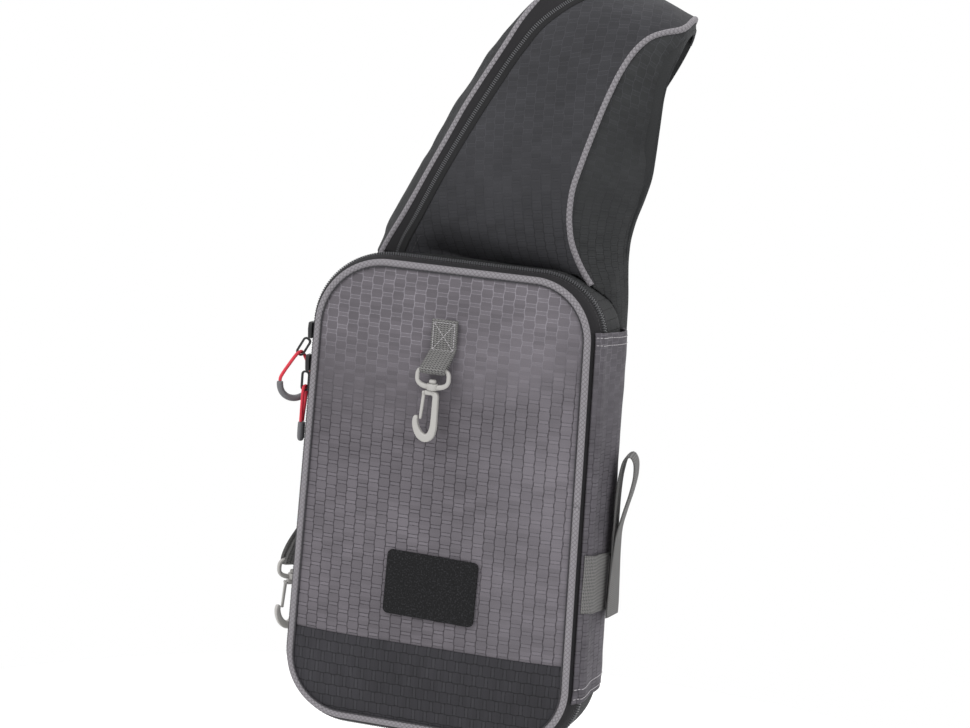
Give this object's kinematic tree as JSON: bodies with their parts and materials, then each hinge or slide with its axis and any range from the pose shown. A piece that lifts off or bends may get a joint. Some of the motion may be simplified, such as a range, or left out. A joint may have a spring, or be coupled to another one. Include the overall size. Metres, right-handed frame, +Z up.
{
  "type": "fishing tackle sling bag",
  "caption": "Flat one-shoulder tackle bag with a padded shoulder strap, an edge zip, a rod sleeve and swivel hooks on its front and side.",
  "frame": {"origin": "underside of the shoulder strap's highest point, where a shoulder carries it", "axes": "+X to the right seen from the front, +Y towards the wearer's back panel, +Z up; the front faces -Y"},
  "size_m": [0.2719, 0.1787, 0.5642],
  "materials": {
    "grey_cloth": "woven ripstop, matt",
    "black_cloth": "woven ripstop, matt",
    "plain_black": "plain weave, matt",
    "piping": "woven bias tape",
    "grey_webbing": "ribbed webbing",
    "black_webbing": "ribbed webbing",
    "zip": "moulded nylon coil",
    "black_plastic": "satin",
    "grey_plastic": "satin",
    "grip": "soft grip",
    "red_cord": "braided cord",
    "badge": "rough, bare"
  },
  "bodies": {
    "bag": {"gusset_front": "plain_black", "gusset_rear": "black_cloth", "main_zip": "zip", "front_piping": "piping", "front_panel_lower": "black_cloth", "front_panel_upper": "grey_cloth", "back_panel": "plain_black", "badge_patch": "badge", "side_sleeve": "grey_cloth", "side_band": "grey_webbing", "rod_strap": "grey_webbing", "front_tab": "grey_webbing", "front_eye": "grey_plastic", "side_tab": "grey_webbing", "side_eye": "grey_plastic", "upper_slider": "black_plastic", "upper_pull_tab": "black_plastic", "upper_pull_cord": "red_cord", "upper_grip": "grip", "lower_slider": "black_plastic", "lower_pull_tab": "black_plastic", "lower_pull_cord": "red_cord", "lower_grip": "grip", "strap_back_pad": "plain_black", "strap_zip_band": "plain_black", "strap_zip": "zip", "strap_front_panel": "black_cloth", "strap_left_wall": "black_cloth", "strap_side_panel": "black_cloth", "strap_left_piping": "piping", "strap_right_piping": "piping", "strap_zip_slider": "black_plastic", "strap_ring": "black_plastic", "strap_webbing": "black_webbing", "corner_webbing": "black_webbing", "strap_buckle": "black_plastic", "corner_tab": "plain_black"},
    "front_swivel_body": {"front_hook": "grey_plastic"},
    "front_gate_body": {"front_gate": "grey_plastic"},
    "side_swivel_body": {"side_hook": "grey_plastic"},
    "side_gate_body": {"side_gate": "grey_plastic"}
  },
  "joints": [
    {"name": "front_swivel", "type": "hinge", "parent": "bag", "child": "front_swivel_body", "pos_m": [-0.08624, -0.1178, -0.27796], "axis": [0, 0, 1], "range_deg": [-30, 205]},
    {"name": "front_gate_spring", "type": "hinge", "parent": "front_swivel_body", "child": "front_gate_body", "pos_m": [-0.09211, -0.1178, -0.2803], "axis": [0, -1, 0], "range_deg": [0, 19], "stiffness_Nm_per_rad": 0.02, "springref_deg": -20.05},
    {"name": "side_swivel", "type": "hinge", "parent": "bag", "child": "side_swivel_body", "pos_m": [-0.20683, -0.0532, -0.44596], "axis": [0, 0, 1], "continuous": true},
    {"name": "side_gate_spring", "type": "hinge", "parent": "side_swivel_body", "child": "side_gate_body", "pos_m": [-0.21099, -0.05735, -0.4481], "axis": [0.7071, -0.7071, 0], "range_deg": [0, 19], "stiffness_Nm_per_rad": 0.02, "springref_deg": -20.05}
  ]
}
